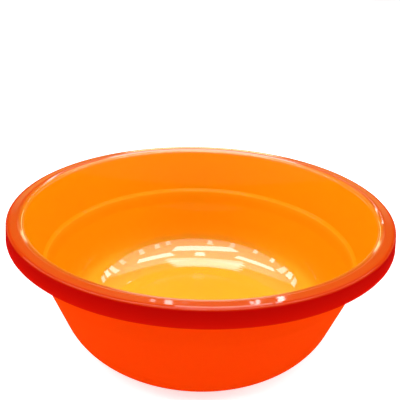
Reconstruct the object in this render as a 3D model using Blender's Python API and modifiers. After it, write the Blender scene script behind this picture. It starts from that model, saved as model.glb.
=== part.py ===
"""A round plastic washing-up basin, moulded in one piece.

The basin is a thin turned shell. Its inner skin runs from the middle of the floor up the
rounded corner and the leaning wall, over the crowned flange and down the skirt that hangs
from it. The outer skin is that same outline moved outwards by the wall thickness, so both
skins always follow the same sizes. A low ridge runs round the inside of the wall, with a
short upper side and a long lower one, and the wall leans a little less above it. Under the
floor the moulding stands on a narrow foot around a shallow recess, with the stub of the
moulding gate in the middle.

Units are metres, +Z is up, and the origin is the middle of the foot, on the table.
"""

import math

import bpy

BASIN_HEIGHT = 0.137
RIM_RADIUS = 0.180
WALL = 0.0020

# Flange and skirt, measured on their top and outer faces
SKIRT_DEPTH = 0.0139
SKIRT_FLARE = 0.0015
FLANGE_WIDTH = 0.0147
FLANGE_INNER_DROP = 0.0016
FLANGE_OUTER_DROP = 0.0003
CROWN_INNER_WIDTH = 0.0055
CROWN_OUTER_WIDTH = 0.0035
CROWN_RADIUS = 0.0080
FLANGE_INNER_RADIUS = 0.0040
FLANGE_OUTER_RADIUS = 0.0022

# Wall, measured on its inner face
UPPER_LEAN_DEG = 14.4
LOWER_LEAN_DEG = 18.8
BEND_DEPTH = 0.0490
BEND_RADIUS = 0.0200
CORNER_RADIUS = 0.0525

# Ridge around the inside of the wall, measured from the bend
RIDGE_TOP_RISE = 0.0020
RIDGE_CREST_DROP = 0.0016
RIDGE_TAIL_DROP = 0.0150
RIDGE_REACH = 0.0018
RIDGE_TOP_RADIUS = 0.0020
RIDGE_CREST_RADIUS = 0.0025
RIDGE_TAIL_RADIUS = 0.0300

# Floor and foot
FLOOR_WALL = 0.0019
FOOT_HEIGHT = 0.0006
FOOT_WIDTH = 0.0060
FOOT_DRAFT_WIDTH = 0.0005
GATE_RADIUS = 0.0040
GATE_DROP = 0.0003

TURN_STEPS = 64
CHORD_ERROR = 0.0002
MERGE_DISTANCE = 0.00001

ORANGE = (0.93, 0.105, 0.006, 1.0)
ORANGE_ROUGHNESS = 0.16
ORANGE_METALLIC = 0.0


def clear_scene():
    """Removes every object that the scene holds."""
    for old in list(bpy.data.objects):
        bpy.data.objects.remove(old, do_unlink=True)


def lean_shift(height, lean_deg):
    """Gives how far a wall that leans out by an angle moves sideways over a height."""
    return height * math.tan(math.radians(lean_deg))


def unit(start, end):
    """Gives the direction from one point to another, with a length of one."""
    span = math.hypot(end[0] - start[0], end[1] - start[1])
    return (end[0] - start[0]) / span, (end[1] - start[1]) / span


def turn_of(before, after):
    """Gives the signed angle between two directions, positive to the left."""
    across = before[0] * after[1] - before[1] * after[0]
    along = before[0] * after[0] + before[1] * after[1]
    return math.atan2(across, along)


def wall_corners():
    """Lists the skin's corners as radius, height and rounding, without the ridge."""
    top = BASIN_HEIGHT
    outer_edge = RIM_RADIUS - SKIRT_FLARE
    inner_edge = outer_edge - FLANGE_WIDTH
    floor = FOOT_HEIGHT + FLOOR_WALL

    bend = top - BEND_DEPTH
    bend_radius = inner_edge - lean_shift(BEND_DEPTH - FLANGE_INNER_DROP, UPPER_LEAN_DEG)
    floor_radius = bend_radius - lean_shift(bend - floor, LOWER_LEAN_DEG)

    return [
        (0.0, floor, 0.0),
        (floor_radius, floor, CORNER_RADIUS),
        (bend_radius, bend, BEND_RADIUS),
        (inner_edge, top - FLANGE_INNER_DROP, FLANGE_INNER_RADIUS),
        (inner_edge + CROWN_INNER_WIDTH, top, CROWN_RADIUS),
        (outer_edge - CROWN_OUTER_WIDTH, top, CROWN_RADIUS),
        (outer_edge, top - FLANGE_OUTER_DROP, FLANGE_OUTER_RADIUS),
        (RIM_RADIUS, top - SKIRT_DEPTH, 0.0),
    ]


def ridge_corners(bend):
    """Lists the corners of the ridge, which stands on the inner skin over the wall's bend."""
    radius, height, _ = bend
    tail = radius - lean_shift(RIDGE_TAIL_DROP, LOWER_LEAN_DEG)
    crest = radius - lean_shift(RIDGE_CREST_DROP, LOWER_LEAN_DEG) - RIDGE_REACH
    top = radius + lean_shift(RIDGE_TOP_RISE, UPPER_LEAN_DEG)
    return [
        (tail, height - RIDGE_TAIL_DROP, RIDGE_TAIL_RADIUS),
        (crest, height - RIDGE_CREST_DROP, RIDGE_CREST_RADIUS),
        (top, height + RIDGE_TOP_RISE, RIDGE_TOP_RADIUS),
    ]


def outer_corners(inner):
    """Moves the skin's corners outwards by the wall, so the two skins run parallel.

    The floor has its own thickness, and its underside is the plane the foot stands on.
    """
    moved = []
    runs = [unit(start, end) for start, end in zip(inner, inner[1:])]
    for index, (radius, height, rounding) in enumerate(inner):
        before = runs[max(index - 1, 0)]
        after = runs[min(index, len(runs) - 1)]
        turn = turn_of(before, after)
        half = math.tan(turn / 2)
        moved_radius = radius + WALL * (before[1] + before[0] * half)
        moved_height = height - WALL * (before[0] - before[1] * half)
        moved_rounding = max(rounding + math.copysign(WALL, turn), 0.0) if rounding else 0.0
        moved.append((moved_radius, moved_height, moved_rounding))

    wall_foot = moved[1]
    drop = wall_foot[1]
    moved[1] = (wall_foot[0] - lean_shift(drop, LOWER_LEAN_DEG), 0.0, CORNER_RADIUS + WALL)
    return moved[1:]


def foot_corners(outer_floor):
    """Lists the foot's land, the recess inside it and the gate stub, towards the middle.

    The foot starts where the outer skin's rounded corner meets the table.
    """
    radius, height, rounding = outer_floor
    corner_span = rounding * math.tan(math.radians(90.0 - LOWER_LEAN_DEG) / 2)
    land_radius = radius - corner_span - FOOT_WIDTH
    recess = height + FOOT_HEIGHT
    return [
        (land_radius, height, 0.0),
        (land_radius - FOOT_DRAFT_WIDTH, recess, 0.0),
        (GATE_RADIUS, recess, 0.0),
        (GATE_RADIUS, recess - GATE_DROP, 0.0),
        (0.0, recess - GATE_DROP, 0.0),
    ]


def lip_points(skirt_outer, skirt_inner):
    """Rounds the skirt's lower edge with half a circle from its outer to its inner face."""
    middle = ((skirt_outer[0] + skirt_inner[0]) / 2, (skirt_outer[1] + skirt_inner[1]) / 2)
    radius = math.dist(skirt_outer[:2], skirt_inner[:2]) / 2
    start = math.atan2(skirt_outer[1] - middle[1], skirt_outer[0] - middle[0])
    pieces = arc_pieces(radius, math.pi)
    points = []
    for piece in range(1, pieces):
        angle = start - math.pi * piece / pieces
        points.append((middle[0] + radius * math.cos(angle), middle[1] + radius * math.sin(angle)))
    return points


def arc_pieces(radius, angle):
    """Gives how many straight pieces keep an arc within the chord error."""
    widest = 2 * math.acos(1 - min(CHORD_ERROR / radius, 1.0))
    return max(1, math.ceil(abs(angle) / widest))


def rounded(corners):
    """Turns a line of corners into points, with each rounded corner as an arc."""
    points = []
    for index, (radius, height, rounding) in enumerate(corners):
        if rounding <= 0.0 or index in (0, len(corners) - 1):
            points.append((radius, height))
            continue
        before = unit(corners[index - 1], corners[index])
        after = unit(corners[index], corners[index + 1])
        turn = turn_of(before, after)
        reach = rounding * math.tan(abs(turn) / 2)
        side = math.copysign(1.0, turn)
        start = (radius - before[0] * reach, height - before[1] * reach)
        centre = (start[0] - side * before[1] * rounding, start[1] + side * before[0] * rounding)
        start_angle = math.atan2(start[1] - centre[1], start[0] - centre[0])
        pieces = arc_pieces(rounding, turn)
        for piece in range(pieces + 1):
            angle = start_angle + turn * piece / pieces
            x = centre[0] + rounding * math.cos(angle)
            z = centre[1] + rounding * math.sin(angle)
            points.append((x, z))
    return points


def basin_outline():
    """Gives the closed half section, from the floor's middle round to its underside."""
    wall = wall_corners()
    floor, corner, bend, *rest = wall
    inner = [floor, corner] + ridge_corners(bend) + rest
    outer = outer_corners(wall)
    lip = lip_points(inner[-1], outer[-1])
    underside = list(reversed(outer)) + foot_corners(outer[0])
    return rounded(inner) + lip + rounded(underside)


def orange_plastic():
    """Makes the basin's glossy orange plastic."""
    material = bpy.data.materials.new("orange_plastic")
    material.use_nodes = True
    shader = material.node_tree.nodes["Principled BSDF"]
    shader.inputs["Base Color"].default_value = ORANGE
    shader.inputs["Roughness"].default_value = ORANGE_ROUGHNESS
    shader.inputs["Metallic"].default_value = ORANGE_METALLIC
    material.diffuse_color = ORANGE
    return material


def turned(name, outline, collection):
    """Turns an outline in the XZ plane round the Z axis into one closed solid."""
    mesh = bpy.data.meshes.new(name)
    edges = [(index, index + 1) for index in range(len(outline) - 1)]
    mesh.from_pydata([(radius, 0.0, height) for radius, height in outline], edges, [])
    part = bpy.data.objects.new(name, mesh)
    collection.objects.link(part)
    screw = part.modifiers.new("turn", "SCREW")
    screw.axis = "Z"
    screw.angle = math.tau
    screw.steps = TURN_STEPS
    screw.render_steps = TURN_STEPS
    screw.use_merge_vertices = True
    screw.merge_threshold = MERGE_DISTANCE
    screw.use_smooth_shade = True
    return part


def main():
    """Builds the basin in its own collection."""
    clear_scene()
    collection = bpy.data.collections.new("plastic_basin")
    bpy.context.scene.collection.children.link(collection)
    basin = turned("basin", basin_outline(), collection)
    basin.data.materials.append(orange_plastic())


main()
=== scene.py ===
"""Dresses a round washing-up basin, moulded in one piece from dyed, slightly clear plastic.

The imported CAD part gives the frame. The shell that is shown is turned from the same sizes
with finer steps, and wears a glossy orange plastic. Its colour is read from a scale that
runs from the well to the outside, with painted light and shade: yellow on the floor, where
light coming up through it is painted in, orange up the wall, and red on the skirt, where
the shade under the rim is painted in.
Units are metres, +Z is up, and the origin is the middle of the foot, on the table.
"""

import logging
import math
from collections.abc import Sequence
from dataclasses import dataclass
from enum import Enum, auto

import bmesh
import bpy
from mathutils import Matrix, Vector

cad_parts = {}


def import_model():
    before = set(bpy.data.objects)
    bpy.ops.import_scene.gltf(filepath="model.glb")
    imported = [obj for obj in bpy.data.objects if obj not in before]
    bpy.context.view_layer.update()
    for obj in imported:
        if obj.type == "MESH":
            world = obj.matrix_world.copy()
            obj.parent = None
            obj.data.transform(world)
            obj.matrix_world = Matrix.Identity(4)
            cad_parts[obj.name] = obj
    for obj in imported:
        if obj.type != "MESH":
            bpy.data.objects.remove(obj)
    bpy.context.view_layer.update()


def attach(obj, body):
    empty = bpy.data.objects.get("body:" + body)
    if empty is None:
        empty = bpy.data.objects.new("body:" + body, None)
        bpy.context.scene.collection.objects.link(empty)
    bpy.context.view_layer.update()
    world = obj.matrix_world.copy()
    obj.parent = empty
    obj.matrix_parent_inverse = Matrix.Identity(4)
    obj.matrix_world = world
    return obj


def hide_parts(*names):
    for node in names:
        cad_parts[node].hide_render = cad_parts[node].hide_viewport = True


LOG = logging.getLogger("basin")
IMAGE_SIDE = 400
NOISE_MIDDLE = 0.5

Colour = tuple[float, float, float]
Point = tuple[float, float]
Node = bpy.types.Node
Socket = bpy.types.NodeSocket
Tree = bpy.types.NodeTree


class Skin(Enum):
    """The parts of the outline, by the surface that they become."""

    WELL_FLOOR = auto()
    WELL_WALL = auto()
    FLANGE = auto()
    SKIRT = auto()
    UNDERCUT = auto()
    OUTSIDE = auto()
    FOOT = auto()


Spot = tuple[Point, Skin]


def srgb(red: int, green: int, blue: int) -> Colour:
    """Turns an 8-bit screen colour into the linear colour that shaders take.

    Args:
        red: Red, 0 to 255.
        green: Green, 0 to 255.
        blue: Blue, 0 to 255.

    Returns:
        The linear red, green and blue.
    """

    def linear(level: int) -> float:
        """Undoes the screen curve for one channel."""
        share = level / 255
        return share / 12.92 if share <= 0.04045 else ((share + 0.055) / 1.055) ** 2.4

    return linear(red), linear(green), linear(blue)


def placed(name: str, data: bpy.types.ID) -> bpy.types.Object:
    """Puts a mesh, a lamp or a camera into the scene.

    Args:
        name: The object's name.
        data: What the object shows.

    Returns:
        The new object.
    """
    thing = bpy.data.objects.new(name, data)
    bpy.context.scene.collection.objects.link(thing)
    return thing


# Node helpers


def add_node(tree: Tree, kind: str, **values: object) -> Node:
    """Adds a node and sets its plain properties.

    Args:
        tree: The tree that gets the node.
        kind: The node's type.
        **values: Properties to set on it.

    Returns:
        The new node.
    """
    node = tree.nodes.new(kind)
    for name, value in values.items():
        setattr(node, name, value)
    return node


def set_sockets(node: Node, values: dict[str, object]) -> None:
    """Sets the values of a node's inputs by their names."""
    for name, value in values.items():
        node.inputs[name].default_value = value


def group_tree(name: str, takes: dict[str, float], gives: dict[str, str]) -> tuple[Tree, Node, Node]:
    """Starts a shader node group with float inputs and typed outputs.

    Args:
        name: The group's name.
        takes: Input names with their defaults.
        gives: Output names with their socket types.

    Returns:
        The new node group, its input node and its output node.
    """
    tree = bpy.data.node_groups.new(name, "ShaderNodeTree")
    for label, default in takes.items():
        socket = tree.interface.new_socket(label, in_out="INPUT", socket_type="NodeSocketFloat")
        socket.default_value = default
    for label, kind in gives.items():
        tree.interface.new_socket(label, in_out="OUTPUT", socket_type=kind)
    return tree, add_node(tree, "NodeGroupInput"), add_node(tree, "NodeGroupOutput")


def maths(tree: Tree, operation: str, *values: Socket | float) -> Socket:
    """Joins one or two values with a Math node.

    Args:
        tree: The tree that gets the node.
        operation: The Math node's operation.
        *values: Sockets or numbers.

    Returns:
        The node's output.
    """
    node = add_node(tree, "ShaderNodeMath", operation=operation)
    for socket, value in zip(node.inputs, values):
        if isinstance(value, Socket):
            tree.links.new(value, socket)
        else:
            socket.default_value = value
    return node.outputs[0]


def chained(tree: Tree, operation: str, values: Sequence[Socket | float]) -> Socket | float:
    """Joins any number of values with Math nodes, one after the other.

    Args:
        tree: The tree that gets the nodes.
        operation: The Math nodes' operation.
        values: Sockets or numbers, at least one.

    Returns:
        The last node's output, or the only value.
    """
    total, *others = values
    for other in others:
        total = maths(tree, operation, total, other)
    return total


@dataclass(frozen=True)
class Ramp:
    """A level that changes over a range of some value, easing in and out.

    Attributes:
        start: The value where the change starts.
        end: The value where it ends.
        before: The level up to the start.
        after: The level from the end on.
    """

    start: float
    end: float
    before: float
    after: float

    def at(self, value: float) -> float:
        """Gives the level at a value."""
        share = min(max((value - self.start) / (self.end - self.start), 0.0), 1.0)
        return self.before + (self.after - self.before) * share * share * (3.0 - 2.0 * share)

    def over(self, tree: Tree, value: Socket) -> Socket:
        """Adds a node that reads a value in a tree and gives the level.

        Args:
            tree: The tree that gets the node.
            value: The value that is read.

        Returns:
            The level's socket.
        """
        node = add_node(tree, "ShaderNodeMapRange", interpolation_type="SMOOTHSTEP")
        tree.links.new(value, node.inputs["Value"])
        set_sockets(node, {"From Min": self.start, "From Max": self.end})
        set_sockets(node, {"To Min": self.before, "To Max": self.after})
        return node.outputs["Result"]


# Outline


@dataclass(frozen=True)
class Corner:
    """A corner of the half section, before it is rounded.

    Attributes:
        radius: Distance from the axis.
        height: Height over the table.
        rounding: Radius of the arc that replaces the corner, or zero.
        skin: The surface that the run after this corner belongs to.
    """

    radius: float
    height: float
    rounding: float
    skin: Skin

    @property
    def place(self) -> Point:
        """Gives the corner's radius and height."""
        return self.radius, self.height


def unit(start: Point, end: Point) -> Point:
    """Gives the direction from one point to another, with a length of one."""
    span = math.hypot(end[0] - start[0], end[1] - start[1])
    return (end[0] - start[0]) / span, (end[1] - start[1]) / span


def turn_of(before: Point, after: Point) -> float:
    """Gives the signed angle between two directions.

    Args:
        before: The first direction.
        after: The second direction.

    Returns:
        The angle in radians, positive to the left.
    """
    across = before[0] * after[1] - before[1] * after[0]
    along = before[0] * after[0] + before[1] * after[1]
    return math.atan2(across, along)


@dataclass(frozen=True)
class Fineness:
    """How finely the outline is cut into straight pieces.

    Attributes:
        arc_turn: The most that an arc turns in one piece, in radians.
        arc_least: The fewest pieces of an arc.
        lip_pieces: Pieces of the skirt's rounded lip.
        run_step: About how long the middle pieces of a straight run are.
        edge_step: How long its first and last pieces are.
        short_run: A straight run shorter than this stays whole.
    """

    arc_turn: float = math.radians(2.0)
    arc_least: int = 2
    lip_pieces: int = 16
    run_step: float = 0.006
    edge_step: float = 0.0006
    short_run: float = 0.0018


@dataclass(frozen=True)
class BasinOutline:
    """The half section of the basin, in the same sizes as its CAD solid.

    The flange and the skirt are measured on their top and outer faces, the wall on its inner
    face, and the ridge from the bend in the wall.
    """

    height: float = 0.137
    rim_radius: float = 0.180
    wall: float = 0.0020
    skirt_depth: float = 0.0139
    skirt_flare: float = 0.0015
    flange_width: float = 0.0147
    flange_inner_drop: float = 0.0016
    flange_outer_drop: float = 0.0003
    crown_inner_width: float = 0.0055
    crown_outer_width: float = 0.0035
    crown_radius: float = 0.0080
    flange_inner_radius: float = 0.0040
    flange_outer_radius: float = 0.0022
    upper_lean: float = math.radians(14.4)
    lower_lean: float = math.radians(18.8)
    bend_depth: float = 0.0490
    bend_radius: float = 0.0200
    corner_radius: float = 0.0525
    ridge_top_rise: float = 0.0020
    ridge_crest_drop: float = 0.0016
    ridge_tail_drop: float = 0.0150
    ridge_reach: float = 0.0018
    ridge_top_radius: float = 0.0020
    ridge_crest_radius: float = 0.0025
    ridge_tail_radius: float = 0.0300
    floor_wall: float = 0.0019
    foot_height: float = 0.0006
    foot_width: float = 0.0060
    foot_draft: float = 0.0005
    foot_rounding: float = 0.00025
    gate_radius: float = 0.0040
    gate_drop: float = 0.0003
    gate_rounding: float = 0.0001
    fineness: Fineness = Fineness()

    @property
    def outer_edge(self) -> float:
        """Gives the radius of the flange's outer edge."""
        return self.rim_radius - self.skirt_flare

    @property
    def inner_edge(self) -> float:
        """Gives the radius of the flange's inner edge."""
        return self.outer_edge - self.flange_width

    @property
    def crest_height(self) -> float:
        """Gives the height of the ridge's crest."""
        return self.height - self.bend_depth - self.ridge_crest_drop

    def wall_corners(self) -> list[Corner]:
        """Lists the inner skin's corners without the ridge.

        Returns:
            The corners from the floor's middle to the skirt's foot.
        """
        top = self.height
        floor = self.foot_height + self.floor_wall
        bend = top - self.bend_depth
        wall_rise = self.bend_depth - self.flange_inner_drop
        bend_radius = self.inner_edge - wall_rise * math.tan(self.upper_lean)
        floor_radius = bend_radius - (bend - floor) * math.tan(self.lower_lean)
        crown_start = self.inner_edge + self.crown_inner_width
        crown_end = self.outer_edge - self.crown_outer_width
        return [
            Corner(0.0, floor, 0.0, Skin.WELL_FLOOR),
            Corner(floor_radius, floor, self.corner_radius, Skin.WELL_WALL),
            Corner(bend_radius, bend, self.bend_radius, Skin.WELL_WALL),
            Corner(self.inner_edge, top - self.flange_inner_drop, self.flange_inner_radius, Skin.FLANGE),
            Corner(crown_start, top, self.crown_radius, Skin.FLANGE),
            Corner(crown_end, top, self.crown_radius, Skin.FLANGE),
            Corner(self.outer_edge, top - self.flange_outer_drop, self.flange_outer_radius, Skin.SKIRT),
            Corner(self.rim_radius, top - self.skirt_depth, 0.0, Skin.SKIRT),
        ]

    def inner(self) -> list[Corner]:
        """Lists the inner skin's corners, with the ridge over the wall's bend.

        Returns:
            The corners from the floor's middle to the skirt's foot.
        """
        floor, corner, bend, *rim = self.wall_corners()
        ridge = []
        for rise, lean, reach, rounding in (
            (-self.ridge_tail_drop, self.lower_lean, 0.0, self.ridge_tail_radius),
            (-self.ridge_crest_drop, self.lower_lean, self.ridge_reach, self.ridge_crest_radius),
            (self.ridge_top_rise, self.upper_lean, 0.0, self.ridge_top_radius),
        ):
            radius = bend.radius + rise * math.tan(lean) - reach
            ridge.append(Corner(radius, bend.height + rise, rounding, Skin.WELL_WALL))
        return [floor, corner, *ridge, *rim]

    def outer(self) -> list[Corner]:
        """Lists the outer skin's corners, from the skirt's foot to the table.

        Returns:
            The wall's corners moved outwards by its thickness, in the other order.
        """
        inner = self.wall_corners()
        flange = next(index for index, corner in enumerate(inner) if corner.skin is Skin.FLANGE)
        runs = [unit(start.place, end.place) for start, end in zip(inner, inner[1:])]
        moved = []
        for index, corner in enumerate(inner):
            before = runs[max(index - 1, 0)]
            after = runs[min(index, len(runs) - 1)]
            turn = turn_of(before, after)
            half = math.tan(turn / 2)
            radius = corner.radius + self.wall * (before[1] + before[0] * half)
            height = corner.height - self.wall * (before[0] - before[1] * half)
            rounding = corner.rounding + math.copysign(self.wall, turn) if corner.rounding else 0.0
            skin = Skin.UNDERCUT if index > flange else Skin.OUTSIDE
            moved.append(Corner(radius, height, max(rounding, 0.0), skin))
        _, heel, *rest = moved
        heel_radius = heel.radius - heel.height * math.tan(self.lower_lean)
        foot = Corner(heel_radius, 0.0, self.corner_radius + self.wall, Skin.FOOT)
        return [*reversed(rest), foot]

    def foot(self, heel: Corner) -> list[Corner]:
        """Lists the foot's land, its recess and the gate stub, towards the middle.

        Args:
            heel: The corner where the outer skin meets the table.

        Returns:
            The corners of the underside.
        """
        span = heel.rounding * math.tan((math.pi / 2 - self.lower_lean) / 2)
        land = heel.radius - span - self.foot_width
        recess = heel.height + self.foot_height
        stub = recess - self.gate_drop
        return [
            Corner(land, heel.height, self.foot_rounding, Skin.FOOT),
            Corner(land - self.foot_draft, recess, self.foot_rounding, Skin.FOOT),
            Corner(self.gate_radius, recess, self.gate_rounding, Skin.FOOT),
            Corner(self.gate_radius, stub, self.gate_rounding, Skin.FOOT),
            Corner(0.0, stub, 0.0, Skin.FOOT),
        ]

    def lip(self, last: Corner, first: Corner) -> list[Spot]:
        """Rounds the skirt's lower edge with half a circle.

        Args:
            last: The last corner of the inner skin, on the skirt's outer face.
            first: The first corner of the outer skin, on the skirt's inner face.

        Returns:
            The points between the two corners, each with its surface.
        """
        middle = ((last.radius + first.radius) / 2, (last.height + first.height) / 2)
        across, up = last.radius - first.radius, last.height - first.height
        radius = math.hypot(across, up) / 2
        start = math.atan2(up, across)
        pieces = self.fineness.lip_pieces
        spots = []
        for piece in range(1, pieces):
            angle = start - math.pi * piece / pieces
            place = (middle[0] + radius * math.cos(angle), middle[1] + radius * math.sin(angle))
            spots.append((place, Skin.SKIRT if 2 * piece < pieces else Skin.UNDERCUT))
        return spots

    def spaced(self, start: Point, end: Point) -> list[Point]:
        """Gives points inside a straight run, close together only near its ends.

        Args:
            start: The run's first end.
            end: The run's other end.

        Returns:
            The points between them, or none where the run is short.
        """
        span = math.dist(start, end)
        if span < self.fineness.short_run:
            return []
        edge = self.fineness.edge_step
        middle_span = span - 2 * edge
        pieces = max(1, round(middle_span / self.fineness.run_step))
        reaches = [edge + middle_span * piece / pieces for piece in range(pieces + 1)]
        way = unit(start, end)
        return [(start[0] + way[0] * reach, start[1] + way[1] * reach) for reach in reaches]

    def run_to(self, line: list[Spot], place: Point, skin: Skin) -> None:
        """Adds a point to a line, after the points of the straight run that leads to it.

        Args:
            line: The line that grows.
            place: The point.
            skin: The surface that the point belongs to.
        """
        if line:
            last, run_skin = line[-1]
            line.extend((spot, run_skin) for spot in self.spaced(last, place))
        line.append((place, skin))

    def arc(self, back: Corner, corner: Corner, on: Corner) -> list[Point]:
        """Rounds a corner.

        Args:
            back: The corner before it.
            corner: The corner that is rounded.
            on: The corner after it.

        Returns:
            The arc's points, with both of its ends.
        """
        before = unit(back.place, corner.place)
        after = unit(corner.place, on.place)
        turn = turn_of(before, after)
        reach = corner.rounding * math.tan(abs(turn) / 2)
        side = math.copysign(corner.rounding, turn)
        start = (corner.radius - before[0] * reach, corner.height - before[1] * reach)
        middle = (start[0] - side * before[1], start[1] + side * before[0])
        first = math.atan2(start[1] - middle[1], start[0] - middle[0])
        pieces = max(self.fineness.arc_least, math.ceil(abs(turn) / self.fineness.arc_turn))
        places = [start]
        for piece in range(1, pieces + 1):
            angle = first + turn * piece / pieces
            x = middle[0] + corner.rounding * math.cos(angle)
            z = middle[1] + corner.rounding * math.sin(angle)
            places.append((x, z))
        return places

    def rounded(self, corners: list[Corner]) -> list[Spot]:
        """Turns a line of corners into points, with each rounded corner as an arc.

        Args:
            corners: The corners in order.

        Returns:
            The points in order, each with the surface that it belongs to.
        """
        line: list[Spot] = []
        for index, corner in enumerate(corners):
            if corner.rounding <= 0.0 or index in (0, len(corners) - 1):
                self.run_to(line, corner.place, corner.skin)
                continue
            start, *rest = self.arc(corners[index - 1], corner, corners[index + 1])
            self.run_to(line, start, corner.skin)
            line.extend((place, corner.skin) for place in rest)
        return line

    def spots(self) -> list[Spot]:
        """Gives the half section, from the floor's middle round to its underside.

        Returns:
            The points in order, each with the surface that it belongs to.
        """
        inner, outer = self.inner(), self.outer()
        under = outer + self.foot(outer[-1])
        return self.rounded(inner) + self.lip(inner[-1], outer[0]) + self.rounded(under)


# Finishes: the plastic, whose colour carries painted light and shade, and the floor


@dataclass(frozen=True)
class Stop:
    """A colour of the scale: the dye with painted light and shade.

    Attributes:
        place: Its place on the colour scale, 0 in the well to 1 outside.
        colour: The colour.
    """

    place: float
    colour: Colour


@dataclass(frozen=True)
class DyeAndPaintedLight:
    """The orange dye with painted light and shade, in the order in which the outline runs from the well to
    the outside.
    """

    # Yellow: painted light that comes up through the floor.
    floor: Stop = Stop(0.00, srgb(238, 190, 50))
    # The dye's orange, with the light that passes through the thin wall painted in.
    wall: Stop = Stop(0.40, srgb(242, 145, 5))
    # Lighter orange: a painted light line along the flange's inner edge.
    edge: Stop = Stop(0.50, srgb(250, 142, 16))
    flange: Stop = Stop(0.60, srgb(224, 83, 10))
    # Darker red: painted shade towards the flange's outer edge.
    shoulder: Stop = Stop(0.66, srgb(200, 57, 6))
    # Dark red: painted shade of the skirt under the rim.
    skirt: Stop = Stop(0.80, srgb(174, 3, 1))
    skirt_foot: Stop = Stop(0.86, srgb(197, 10, 1))
    # Red-orange: the dye with the light that passes through the thin plastic painted in.
    outside: Stop = Stop(0.97, srgb(246, 63, 1))

    def stops(self) -> list[Stop]:
        """Lists the colours in the order of their places."""
        well = [self.floor, self.wall, self.edge, self.flange]
        return well + [self.shoulder, self.skirt, self.skirt_foot, self.outside]


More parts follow.
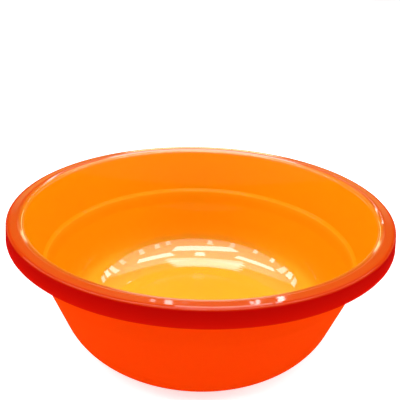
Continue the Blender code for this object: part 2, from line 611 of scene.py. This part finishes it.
@dataclass(frozen=True)
class OrangePlastic:
    """A glossy, slightly clear polypropylene, dyed orange all through.

    Attributes:
        dye_and_light: Its colours: the orange dye with painted light and shade.
        flow: How far the flow marks shift a point along the colour scale.
        flow_size: Scale of the flow marks.
        flow_detail: Their detail.
        flow_roughness: How strong their finer parts are.
        gloss: Roughness where the mould is polished.
        satin: Roughness where the mould is matt.
        waver_size: Scale of the surface's slow waver.
        grain_size: Scale of its grain.
        noise_detail: Detail of both.
        grain_height: Height of the grain against the waver's.
        grain_spread: How far the grain changes the roughness.
        bump_strength: Strength of both.
        bump_distance: Height of both in metres.
        coat_roughness: Roughness of the glossy skin.
        coat_ior: Its refraction.
        clearness: The subsurface share.
        reach: How far light spreads in it, in metres.
        reach_shares: That for red, green and blue, as shares.
    """

    dye_and_light: DyeAndPaintedLight = DyeAndPaintedLight()
    flow: float = 0.02
    flow_size: float = 9.0
    flow_detail: float = 3.0
    flow_roughness: float = 0.55
    gloss: float = 0.07
    satin: float = 0.34
    waver_size: float = 22.0
    grain_size: float = 1900.0
    noise_detail: float = 2.0
    grain_height: float = 0.03
    grain_spread: float = 0.06
    bump_strength: float = 0.12
    bump_distance: float = 0.0012
    coat_roughness: float = 0.04
    coat_ior: float = 2.2
    clearness: float = 0.25
    reach: float = 0.004
    reach_shares: Colour = (1.0, 0.35, 0.05)

    def dye_and_light_group(self) -> Tree:
        """Builds the group that turns depth into the colour, the dye with its painted light and shade, with
        flow marks.

        Returns:
            The node group.
        """
        tree, takes, gives = group_tree(
            "dye_and_painted_light",
            {"Depth": self.dye_and_light.floor.place, "Flow": self.flow, "Flow Size": self.flow_size},
            {"Color": "NodeSocketColor"},
        )
        spots = add_node(tree, "ShaderNodeTexCoord")
        flow = add_node(tree, "ShaderNodeTexNoise")
        set_sockets(flow, {"Detail": self.flow_detail, "Roughness": self.flow_roughness})
        tree.links.new(spots.outputs["Object"], flow.inputs["Vector"])
        tree.links.new(takes.outputs["Flow Size"], flow.inputs["Scale"])
        centred = maths(tree, "SUBTRACT", flow.outputs["Fac"], NOISE_MIDDLE)
        shift = maths(tree, "MULTIPLY", centred, takes.outputs["Flow"])
        depth = maths(tree, "ADD", takes.outputs["Depth"], shift)
        colours = add_node(tree, "ShaderNodeValToRGB")
        elements = colours.color_ramp.elements
        stops = self.dye_and_light.stops()
        while len(elements) < len(stops):
            elements.new(1.0)
        for element, stop in zip(elements, stops):
            element.position = stop.place
            element.color = (*stop.colour, 1.0)
        tree.links.new(depth, colours.inputs["Fac"])
        tree.links.new(colours.outputs["Color"], gives.inputs["Color"])
        return tree

    def surface_group(self) -> Tree:
        """Builds the group for the moulded surface: its waver, its grain and its gloss.

        Returns:
            The node group.
        """
        tree, takes, gives = group_tree(
            "moulded_surface",
            {"Polish": 1.0, "Waver Size": self.waver_size, "Grain Size": self.grain_size},
            dict.fromkeys(("Height", "Roughness", "Coat"), "NodeSocketFloat"),
        )
        spots = add_node(tree, "ShaderNodeTexCoord")
        noises = []
        for size in ("Waver Size", "Grain Size"):
            noise = add_node(tree, "ShaderNodeTexNoise")
            noise.inputs["Detail"].default_value = self.noise_detail
            tree.links.new(spots.outputs["Object"], noise.inputs["Vector"])
            tree.links.new(takes.outputs[size], noise.inputs["Scale"])
            noises.append(noise.outputs["Fac"])
        waver, grain = noises
        matt = maths(tree, "SUBTRACT", 1.0, takes.outputs["Polish"])
        fine = chained(tree, "MULTIPLY", (grain, self.grain_height, matt))
        spread = maths(tree, "MULTIPLY", matt, self.satin - self.gloss)
        centred = maths(tree, "SUBTRACT", grain, NOISE_MIDDLE)
        worn = maths(tree, "MULTIPLY", centred, self.grain_spread)
        rough = chained(tree, "ADD", (spread, self.gloss, worn))
        tree.links.new(maths(tree, "ADD", waver, fine), gives.inputs["Height"])
        tree.links.new(rough, gives.inputs["Roughness"])
        tree.links.new(takes.outputs["Polish"], gives.inputs["Coat"])
        return tree

    def build(self) -> bpy.types.Material:
        """Builds the material.

        Returns:
            The new material.
        """
        material = bpy.data.materials.new("orange_plastic")
        material.use_nodes = True
        tree = material.node_tree
        shader = tree.nodes["Principled BSDF"]
        depth = add_node(tree, "ShaderNodeAttribute", attribute_name="depth")
        polish = add_node(tree, "ShaderNodeAttribute", attribute_name="polish")
        dye_and_light = add_node(tree, "ShaderNodeGroup", node_tree=self.dye_and_light_group())
        tree.links.new(depth.outputs["Fac"], dye_and_light.inputs["Depth"])
        tree.links.new(dye_and_light.outputs["Color"], shader.inputs["Base Color"])
        surface = add_node(tree, "ShaderNodeGroup", node_tree=self.surface_group())
        tree.links.new(polish.outputs["Fac"], surface.inputs["Polish"])
        tree.links.new(surface.outputs["Roughness"], shader.inputs["Roughness"])
        tree.links.new(surface.outputs["Coat"], shader.inputs["Coat Weight"])
        bump = add_node(tree, "ShaderNodeBump")
        set_sockets(bump, {"Strength": self.bump_strength, "Distance": self.bump_distance})
        tree.links.new(surface.outputs["Height"], bump.inputs["Height"])
        tree.links.new(bump.outputs["Normal"], shader.inputs["Normal"])
        shader_values = {
            "Specular IOR Level": 0.0,
            "Coat Roughness": self.coat_roughness,
            "Coat IOR": self.coat_ior,
            "Subsurface Weight": self.clearness,
            "Subsurface Scale": self.reach,
            "Subsurface Radius": self.reach_shares,
        }
        set_sockets(shader, shader_values)
        material.diffuse_color = (*self.dye_and_light.wall.colour, 1.0)
        return material


@dataclass(frozen=True)
class PaleFloor:
    """The plain pale floor under the basin.

    Attributes:
        colour: Its colour.
        roughness: Its roughness.
        specular: Its faint gloss.
        lift: Light added to it, by distance from the basin, so that it reaches white.
    """

    colour: Colour = (0.90, 0.90, 0.90)
    roughness: float = 0.9
    specular: float = 0.1
    lift: Ramp = Ramp(0.30, 1.10, 0.62, 0.65)

    def build(self) -> bpy.types.Material:
        """Builds the floor's material, which keeps the shadow and reaches white.

        Returns:
            The new material.
        """
        material = bpy.data.materials.new("pale_floor")
        material.use_nodes = True
        tree = material.node_tree
        shader = tree.nodes["Principled BSDF"]
        shader_values = {
            "Base Color": (*self.colour, 1.0),
            "Roughness": self.roughness,
            "Specular IOR Level": self.specular,
            "Emission Color": (1.0, 1.0, 1.0, 1.0),
        }
        set_sockets(shader, shader_values)
        spots = add_node(tree, "ShaderNodeTexCoord")
        away = add_node(tree, "ShaderNodeVectorMath", operation="LENGTH")
        tree.links.new(spots.outputs["Object"], away.inputs[0])
        path = add_node(tree, "ShaderNodeLightPath")
        kinds = ("Is Camera Ray", "Is Glossy Ray", "Is Transmission Ray")
        seen = chained(tree, "MAXIMUM", [path.outputs[kind] for kind in kinds])
        glow = maths(tree, "MULTIPLY", seen, self.lift.over(tree, away.outputs["Value"]))
        tree.links.new(glow, shader.inputs["Emission Strength"])
        return material


# The basin


def turning_tree() -> Tree:
    """Builds the Geometry Nodes tree that turns an outline round the Z axis.

    Returns:
        The tree, which takes the outline, the steps, the radius, the merging and the plastic.
    """
    tree = bpy.data.node_groups.new("turned_shell", "GeometryNodeTree")
    for label, kind in (
        ("Outline", "NodeSocketGeometry"),
        ("Turn Steps", "NodeSocketInt"),
        ("Path Radius", "NodeSocketFloat"),
        ("Merge Distance", "NodeSocketFloat"),
        ("Plastic", "NodeSocketMaterial"),
    ):
        tree.interface.new_socket(label, in_out="INPUT", socket_type=kind)
    tree.interface.new_socket("Shell", in_out="OUTPUT", socket_type="NodeSocketGeometry")
    takes = add_node(tree, "NodeGroupInput")
    gives = add_node(tree, "NodeGroupOutput")
    line = add_node(tree, "GeometryNodeMeshToCurve")
    laid = add_node(tree, "GeometryNodeTransform")
    laid.inputs["Rotation"].default_value = (math.pi / 2, 0.0, 0.0)
    back = add_node(tree, "ShaderNodeCombineXYZ")
    path = add_node(tree, "GeometryNodeCurvePrimitiveCircle", mode="RADIUS")
    swept = add_node(tree, "GeometryNodeCurveToMesh")
    merged = add_node(tree, "GeometryNodeMergeByDistance")
    shaded = add_node(tree, "GeometryNodeSetShadeSmooth")
    real = add_node(tree, "GeometryNodeRealizeInstances")
    dressed = add_node(tree, "GeometryNodeSetMaterial")
    inward = maths(tree, "MULTIPLY", takes.outputs["Path Radius"], -1.0)
    tree.links.new(inward, back.inputs["X"])
    for source, output, target, entry in (
        (takes, "Outline", line, "Mesh"),
        (line, "Curve", laid, "Geometry"),
        (back, "Vector", laid, "Translation"),
        (takes, "Turn Steps", path, "Resolution"),
        (takes, "Path Radius", path, "Radius"),
        (path, "Curve", swept, "Curve"),
        (laid, "Geometry", swept, "Profile Curve"),
        (swept, "Mesh", merged, "Geometry"),
        (takes, "Merge Distance", merged, "Distance"),
        (merged, "Geometry", shaded, "Geometry"),
        (shaded, "Geometry", real, "Geometry"),
        (real, "Geometry", dressed, "Geometry"),
        (takes, "Plastic", dressed, "Material"),
        (dressed, "Geometry", gives, "Shell"),
    ):
        tree.links.new(source.outputs[output], target.inputs[entry])
    return tree


def set_inputs(modifier: bpy.types.NodesModifier, values: dict[str, object]) -> None:
    """Sets a Geometry Nodes modifier's inputs by their sockets' identifiers.

    Args:
        modifier: The modifier, with its node group.
        values: Values by the sockets' names.
    """
    for item in modifier.node_group.interface.items_tree:
        if item.item_type == "SOCKET" and item.in_out == "INPUT" and item.name in values:
            modifier[item.identifier] = values[item.name]


@dataclass
class SurfaceMap:
    """Where the colour, with its painted light and shade, and the polish change along the basin's outline.

    Attributes:
        outline: The outline.
        dye_and_light: The colours, the dye with painted light and shade, with their places on the scale.
        wall_climb: Shares of the way from the floor's colour to the wall's, by height, which fade the
            floor's painted light out up the bottom's curve.
        ridge_painted_light: How far the ridge's crest goes back on the colour scale, a painted light line
            along it.
        ridge_painted_light_reach: How far above and below the crest that fades out.
        shoulder_span: Radii between which the flange's colour turns into the shoulder's.
        skirt_span: Drops from the rim between which that turns into the skirt's.
        skirt_foot_span: Drops between which that turns into its foot's.
        undercut_depth: Place of the flange's underside on the colour scale.
        outside_depth: Place of the outer wall and the foot.
        well_polish: Polish of the well, by height.
        flange_polish: Polish of the flange, by radius.
        flange_edge_polish: What is added to that towards the outer edge.
        skirt_polish: Polish of the skirt, by drop from the rim.
        outside_polish: Polish of the rest.
    """

    outline: BasinOutline
    dye_and_light: DyeAndPaintedLight
    wall_climb: tuple[Ramp, ...] = (
        Ramp(0.003, 0.018, 0.0, 0.33),
        Ramp(0.022, 0.034, 0.0, 0.52),
        Ramp(0.028, 0.055, 0.0, 0.15),
    )
    ridge_painted_light: float = 0.075
    ridge_painted_light_reach: float = 0.004
    shoulder_span: Point = (0.1740, 0.1775)
    skirt_span: Point = (0.0003, 0.0017)
    skirt_foot_span: Point = (0.003, 0.015)
    undercut_depth: float = 0.9
    outside_depth: float = 1.0
    well_polish: Ramp = Ramp(0.030, 0.041, 1.0, 0.03)
    flange_polish: Ramp = Ramp(0.1625, 0.1650, 0.10, 1.00)
    flange_edge_polish: Ramp = Ramp(0.1746, 0.1758, 0.0, -0.75)
    skirt_polish: Ramp = Ramp(0.0002, 0.0010, 0.25, 0.006)
    outside_polish: float = 0.006

    def depth_at(self, place: Point, skin: Skin) -> float:
        """Gives a point's place on the colour scale, which carries the painted light and shade.

        Args:
            place: The point's radius and height.
            skin: The surface that it belongs to.

        Returns:
            The place on the scale, 0 in the well to 1 outside.
        """
        radius, height = place
        dye_and_light, outline = self.dye_and_light, self.outline
        # The floor's yellow is painted light that comes up through it.
        if skin is Skin.WELL_FLOOR:
            return dye_and_light.floor.place
        if skin is Skin.WELL_WALL:
            # Up the wall the floor's painted light fades out, and the ridge's crest gets a painted light
            # line.
            climb = sum(share.at(height) for share in self.wall_climb)
            glow = max(1.0 - abs(height - outline.crest_height) / self.ridge_painted_light_reach, 0.0)
            return dye_and_light.wall.place * climb - self.ridge_painted_light * glow
        if skin is Skin.FLANGE:
            # The flange is lighter at its inner edge, a painted light line, and darker towards its outer
            # edge, painted shade.
            crown_start = outline.inner_edge + outline.crown_inner_width
            crown = Ramp(outline.inner_edge, crown_start, dye_and_light.edge.place, dye_and_light.flange.place)
            shoulder = Ramp(*self.shoulder_span, 0.0, dye_and_light.shoulder.place - dye_and_light.flange.place)
            return crown.at(radius) + shoulder.at(radius)
        if skin is Skin.SKIRT:
            # The skirt turns dark red, painted shade under the rim, and lighter towards its lower lip.
            drop = outline.height - height
            skirt = Ramp(*self.skirt_span, dye_and_light.shoulder.place, dye_and_light.skirt.place)
            foot = Ramp(*self.skirt_foot_span, 0.0, dye_and_light.skirt_foot.place - dye_and_light.skirt.place)
            return skirt.at(drop) + foot.at(drop)
        # The underside and the outside take the dye's red-orange, with the light that passes through the
        # thin plastic painted in.
        return self.undercut_depth if skin is Skin.UNDERCUT else self.outside_depth

    def polish_at(self, place: Point, skin: Skin) -> float:
        """Gives how polished the mould is at a point.

        Args:
            place: The point's radius and height.
            skin: The surface that it belongs to.

        Returns:
            The polish, 0 where the mould is matt to 1 where it is polished.
        """
        radius, height = place
        if skin in (Skin.WELL_FLOOR, Skin.WELL_WALL):
            return self.well_polish.at(height)
        if skin is Skin.FLANGE:
            return self.flange_polish.at(radius) + self.flange_edge_polish.at(radius)
        if skin is Skin.SKIRT:
            return self.skirt_polish.at(self.outline.height - height)
        return self.outside_polish


@dataclass
class Basin:
    """The basin: one moulded shell.

    Attributes:
        outline: Its half section.
        plastic: What it is moulded from.
        turn_steps: Steps in one turn.
        merge_distance: Points closer than this become one.
    """

    outline: BasinOutline = BasinOutline()
    plastic: OrangePlastic = OrangePlastic()
    turn_steps: int = 192
    merge_distance: float = 0.00001

    def outline_object(self) -> bpy.types.Object:
        """Makes the outline as a line of edges that carries its surface values.

        Returns:
            The object.
        """
        spots = self.outline.spots()
        surface = SurfaceMap(self.outline, self.plastic.dye_and_light)
        mesh = bpy.data.meshes.new("basin_shell")
        edges = [(index, index + 1) for index in range(len(spots) - 1)]
        mesh.from_pydata([(place[0], 0.0, place[1]) for place, _ in spots], edges, [])
        for label, read in (("depth", surface.depth_at), ("polish", surface.polish_at)):
            layer = mesh.attributes.new(label, "FLOAT", "POINT")
            layer.data.foreach_set("value", [read(place, skin) for place, skin in spots])
        return placed("basin_shell", mesh)

    def build(self) -> bpy.types.Object:
        """Turns the outline into the shell and hangs it on the frame.

        Returns:
            The shell as a plain mesh object.
        """
        host = self.outline_object()
        turning = host.modifiers.new("turning", "NODES")
        turning.node_group = turning_tree()
        values = {
            "Turn Steps": self.turn_steps,
            "Path Radius": self.outline.rim_radius,
            "Merge Distance": self.merge_distance,
            "Plastic": self.plastic.build(),
        }
        set_inputs(turning, values)
        graph = bpy.context.evaluated_depsgraph_get()
        mesh = bpy.data.meshes.new_from_object(host.evaluated_get(graph))
        host.modifiers.clear()
        host.data = mesh
        self.face_outwards(mesh)
        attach(host, "root")
        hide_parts("basin")
        return host

    def face_outwards(self, mesh: bpy.types.Mesh) -> None:
        """Turns the faces over if they enclose a negative volume.

        Args:
            mesh: The closed mesh.
        """
        work = bmesh.new()
        work.from_mesh(mesh)
        if work.calc_volume(signed=True) < 0.0:
            bmesh.ops.reverse_faces(work, faces=work.faces[:])
            work.to_mesh(mesh)
        work.free()


# Studio


@dataclass(frozen=True)
class Panel:
    """A soft lamp that lies flat overhead.

    Attributes:
        name: The lamp's name.
        middle: How far right and how far to the front it hangs, for each metre up.
        size: Its length and breadth, for each metre up.
        level: Brightness of its face, where 1 is white.
        turn: Angle of its length from the right, in degrees, towards the front.
        mirrored: Whether the gloss shows it.
        watts: Power that gives a square metre of its face a level of 1.
    """

    name: str
    middle: Point
    size: Point
    level: float
    turn: float = 0.0
    mirrored: bool = True
    watts: float = 4.0

    def build(self, rise: float, base: float) -> None:
        """Builds the lamp, facing straight down.

        Args:
            rise: How high it hangs over the base.
            base: Height of the base that its place is measured from.
        """
        data = bpy.data.lights.new(self.name, "AREA")
        data.shape = "RECTANGLE"
        data.size = self.size[0] * rise
        data.size_y = self.size[1] * rise
        data.energy = self.watts * data.size * data.size_y * self.level
        lamp = placed(self.name, data)
        lamp.location = (self.middle[0] * rise, -self.middle[1] * rise, base + rise)
        lamp.rotation_euler = (0.0, 0.0, -math.radians(self.turn))
        lamp.visible_camera = False
        lamp.visible_glossy = self.mirrored


SEAM_SIZE: Point = (0.46, 0.11)
SEAM_TARGET: Point = (0.0, -0.3)


def seam(number: int, middle: Point, level: float) -> Panel:
    """Makes a narrow lamp that points at the back of the ceiling, like a tent's seam.

    Args:
        number: Its number.
        middle: Where it hangs, for each metre up.
        level: Brightness of its face.

    Returns:
        The lamp.
    """
    turn = math.degrees(math.atan2(middle[1] - SEAM_TARGET[1], middle[0] - SEAM_TARGET[0]))
    return Panel(f"seam_{number}", middle, SEAM_SIZE, level, turn)


@dataclass(frozen=True)
class Patch:
    """A lit patch of the room, the product of its ramps.

    Attributes:
        level: Its brightness, where 1 is white.
        height: Ramps over how high a direction points.
        aside: Ramps over how far it points to a side.
        behind: Ramps over how far it points to the back.
        warmth: The share of its blue that is missing.
        mirrored_only: Whether only mirrored and refracted rays see it.
    """

    level: float = 1.0
    height: tuple[Ramp, ...] = ()
    aside: tuple[Ramp, ...] = ()
    behind: tuple[Ramp, ...] = ()
    warmth: float = 0.0
    mirrored_only: bool = False

    def shape(self, tree: Tree, height: Socket, aside: Socket, behind: Socket) -> Socket:
        """Adds the nodes of the patch's shape.

        Args:
            tree: The world's tree.
            height: How high a direction points.
            aside: How far it points to a side.
            behind: How far it points to the back.

        Returns:
            The shape's socket, about 1 in the patch and less outside.
        """
        sides = ((height, self.height), (aside, self.aside), (behind, self.behind))
        factors = [ramp.over(tree, value) for value, ramps in sides for ramp in ramps]
        return chained(tree, "MULTIPLY", factors)


@dataclass(frozen=True)
class Room:
    """The room's light, as the world. Where patches overlap, the brightest one counts.

    Attributes:
        wall: White low down, in front and at the sides.
        sheet: A white sheet at the horizon, for mirrored and refracted rays.
        strip: A bright warm strip low behind the basin.
        amber: A dim amber glow beside the strip.
        cover: A pale cover overhead, brighter towards the top and in front.
        gap: The least level in any direction.
        side_pull: How much a direction to a side counts as less far behind.
    """

    wall: Patch = Patch(
        height=(Ramp(0.26, 0.33, 1.0, 0.0),),
        behind=(Ramp(0.35, 0.60, 1.0, 0.035),),
    )
    sheet: Patch = Patch(
        height=(Ramp(0.03, 0.09, 1.0, 0.0),),
        aside=(Ramp(0.09, 0.14, 1.0, 0.25),),
        mirrored_only=True,
    )
    strip: Patch = Patch(
        level=3.2,
        height=(Ramp(0.265, 0.285, 0.0, 1.0), Ramp(0.31, 0.335, 1.0, 0.0)),
        aside=(Ramp(0.12, 0.17, 1.0, 0.0),),
        behind=(Ramp(0.50, 0.60, 0.0, 1.0),),
        warmth=0.52,
    )
    amber: Patch = Patch(
        level=0.5,
        height=(Ramp(0.29, 0.31, 0.0, 1.0), Ramp(0.36, 0.41, 1.0, 0.0)),
        aside=(Ramp(0.10, 0.16, 0.0, 1.0), Ramp(0.36, 0.42, 1.0, 0.0)),
        behind=(Ramp(0.50, 0.60, 0.0, 1.0),),
        warmth=0.7,
    )
    cover: Patch = Patch(
        level=0.80,
        height=(Ramp(0.51, 0.57, 0.0, 1.0), Ramp(0.66, 0.88, 1.0, 1.4375)),
        behind=(Ramp(-0.03, 0.06, 1.0, 0.15),),
    )
    gap: float = 0.035
    side_pull: float = 0.6

    def build(self) -> None:
        """Builds the world, which the camera sees at a level of 1 or more."""
        world = bpy.data.worlds.new("studio_room")
        bpy.context.scene.world = world
        world.use_nodes = True
        tree = world.node_tree
        tree.nodes.clear()
        spots = add_node(tree, "ShaderNodeTexCoord")
        parts = add_node(tree, "ShaderNodeSeparateXYZ")
        tree.links.new(spots.outputs["Generated"], parts.inputs[0])
        aside = maths(tree, "ABSOLUTE", parts.outputs["X"])
        pulled = maths(tree, "MULTIPLY", aside, self.side_pull)
        behind = maths(tree, "SUBTRACT", parts.outputs["Y"], pulled)
        path = add_node(tree, "ShaderNodeLightPath")
        mirrored = maths(tree, "MAXIMUM", path.outputs["Is Glossy Ray"], path.outputs["Is Transmission Ray"])
        levels = [path.outputs["Is Camera Ray"], self.gap]
        warmths = []
        for patch in (self.wall, self.sheet, self.strip, self.amber, self.cover):
            shape = patch.shape(tree, parts.outputs["Z"], aside, behind)
            level = maths(tree, "MULTIPLY", shape, patch.level)
            if patch.mirrored_only:
                level = maths(tree, "MULTIPLY", level, mirrored)
            if patch.warmth > 0.0:
                warmths.append(maths(tree, "MULTIPLY", shape, patch.warmth))
            levels.append(level)
        tint = add_node(tree, "ShaderNodeCombineColor")
        set_sockets(tint, {"Red": 1.0, "Green": 1.0})
        blue = maths(tree, "SUBTRACT", 1.0, chained(tree, "MAXIMUM", warmths))
        tree.links.new(blue, tint.inputs["Blue"])
        glow = add_node(tree, "ShaderNodeBackground")
        tree.links.new(tint.outputs["Color"], glow.inputs["Color"])
        tree.links.new(chained(tree, "MAXIMUM", levels), glow.inputs["Strength"])
        out = add_node(tree, "ShaderNodeOutputWorld")
        tree.links.new(glow.outputs[0], out.inputs["Surface"])


@dataclass(frozen=True)
class PhotoCamera:
    """The camera at the photograph's angle and framing, with its angles in radians.

    Attributes:
        place: Where it stands.
        yaw: How far it looks to the right.
        pitch: How far it looks down.
        roll: How far its right side is raised.
        focal_pixels: Its focal length in pixels of the photograph.
        sensor: Width of its sensor in millimetres.
        clip_start: The nearest that it sees.
    """

    place: tuple[float, float, float] = (0.0, -0.457973, 0.332922)
    yaw: float = -0.00321
    pitch: float = 0.40206
    roll: float = 0.02821
    focal_pixels: float = 515.57
    sensor: float = 36.0
    clip_start: float = 0.01

    def build(self) -> None:
        """Builds the camera and makes it the scene's own."""
        across, level = math.sin(self.yaw), math.cos(self.yaw)
        reach = math.cos(self.pitch)
        ahead = Vector((across * reach, level * reach, -math.sin(self.pitch)))
        flat_right = Vector((level, -across, 0.0))
        upright = flat_right.cross(ahead)
        right = flat_right * math.cos(self.roll) + upright * math.sin(self.roll)
        up = upright * math.cos(self.roll) - flat_right * math.sin(self.roll)
        data = bpy.data.cameras.new("camera")
        data.sensor_width = self.sensor
        data.lens = self.focal_pixels / IMAGE_SIDE * self.sensor
        data.clip_start = self.clip_start
        camera = placed("camera", data)
        turned = Matrix((right, up, -ahead)).transposed().to_4x4()
        camera.matrix_world = Matrix.Translation(self.place) @ turned
        bpy.context.scene.camera = camera


@dataclass
class Studio:
    """The floor, the lamps, the room around them and the camera.

    Attributes:
        floor_reach: How far the floor goes from the basin to each side.
        floor_finish: The floor's finish.
        room: The light around the lamps.
        camera: The camera.
        lamp_rise: How high the lamps hang over their base.
        lamp_base: Height of the base that their places are measured from.
        lamps: The lamps.
    """

    floor_reach: float = 12.0
    floor_finish: PaleFloor = PaleFloor()
    room: Room = Room()
    camera: PhotoCamera = PhotoCamera()
    lamp_rise: float = 2.4
    lamp_base: float = 0.02
    lamps: tuple[Panel, ...] = (
        Panel("front_panel", (-0.10, 0.59), (0.98, 0.30), 2.7, -5.0),
        Panel("right_panel", (0.50, 0.10), (0.48, 0.20), 2.7, -35.0),
        Panel("left_panel", (-0.66, 0.01), (0.64, 0.17), 2.7, 41.0),
        Panel("top_panel_1", (-0.06, -0.03), (0.68, 0.10), 1.4),
        Panel("top_panel_2", (-0.06, -0.13), (0.58, 0.10), 2.2),
        Panel("top_panel_3", (-0.05, -0.23), (0.46, 0.10), 2.4),
        Panel("top_panel_4", (-0.05, -0.33), (0.37, 0.10), 2.2),
        Panel("top_panel_5", (-0.04, -0.43), (0.28, 0.10), 1.6),
        Panel("top_spot", (0.0, 0.23), (0.10, 0.20), 3.0),
        Panel("back_panel", (0.09, -0.88), (0.34, 0.28), 2.2),
        Panel("back_spot_1", (0.297, -1.50), (0.024, 1.20), 4.0, 1.4),
        Panel("back_spot_2", (0.211, -1.45), (0.014, 1.00), 3.0, 1.2),
        Panel("back_spot_3", (0.192, -1.31), (0.012, 0.10), 2.5, -12.0),
        Panel("back_spot_4", (-0.106, -1.45), (0.026, 0.60), 2.5, -0.8),
        Panel("back_spot_5", (-0.160, -1.33), (0.018, 0.025), 1.8, 10.0),
        Panel("back_spot_6", (-0.050, -1.34), (0.018, 0.020), 1.6, 10.0),
        Panel("left_window_1", (-1.36, -0.26), (0.72, 0.17), 2.0),
        Panel("left_window_2", (-1.44, -0.51), (0.60, 0.19), 2.8),
        Panel("left_window_3", (-1.36, -0.76), (0.66, 0.16), 2.0),
        Panel("right_window_1", (1.22, -0.42), (0.70, 0.13), 2.2),
        Panel("right_window_2", (1.32, -0.62), (0.56, 0.15), 2.8),
        Panel("right_window_3", (1.24, -0.82), (0.44, 0.12), 2.0),
        seam(1, (-0.21, 1.08), 1.6),
        seam(2, (-0.72, 1.00), 1.2),
        seam(3, (0.72, 1.02), 1.3),
        seam(4, (0.87, 0.76), 1.5),
        seam(5, (1.07, 0.42), 1.6),
        seam(6, (-1.20, 0.65), 1.8),
        seam(7, (-1.40, 0.17), 2.6),
        seam(8, (1.22, -0.10), 1.3),
        Panel("right_fill", (1.90, 0.0), (0.90, 0.90), 5.0, 0.0, False),
        Panel("left_fill", (-1.90, 0.0), (0.90, 0.90), 5.0, 0.0, False),
    )

    def build_floor(self) -> None:
        """Builds the floor as one large sheet under the basin."""
        mesh = bpy.data.meshes.new("pale_floor")
        near, far = -self.floor_reach, self.floor_reach
        corners = [(near, near, 0.0), (far, near, 0.0), (far, far, 0.0), (near, far, 0.0)]
        mesh.from_pydata(corners, [], [(0, 1, 2, 3)])
        floor = placed("pale_floor", mesh)
        mesh.materials.append(self.floor_finish.build())

    def build(self) -> None:
        """Builds the whole studio."""
        bpy.context.scene.view_settings.view_transform = "Standard"
        self.build_floor()
        self.room.build()
        self.camera.build()
        for lamp in self.lamps:
            lamp.build(self.lamp_rise, self.lamp_base)


def main() -> None:
    """Builds the basin and its studio."""
    logging.basicConfig(level=logging.INFO, format="%(message)s")
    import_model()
    shell = Basin().build()
    LOG.info("basin shell: %d faces", len(shell.data.polygons))
    Studio().build()
    LOG.info("studio: floor, room, lamps and camera")


if __name__ == "__main__":
    main()
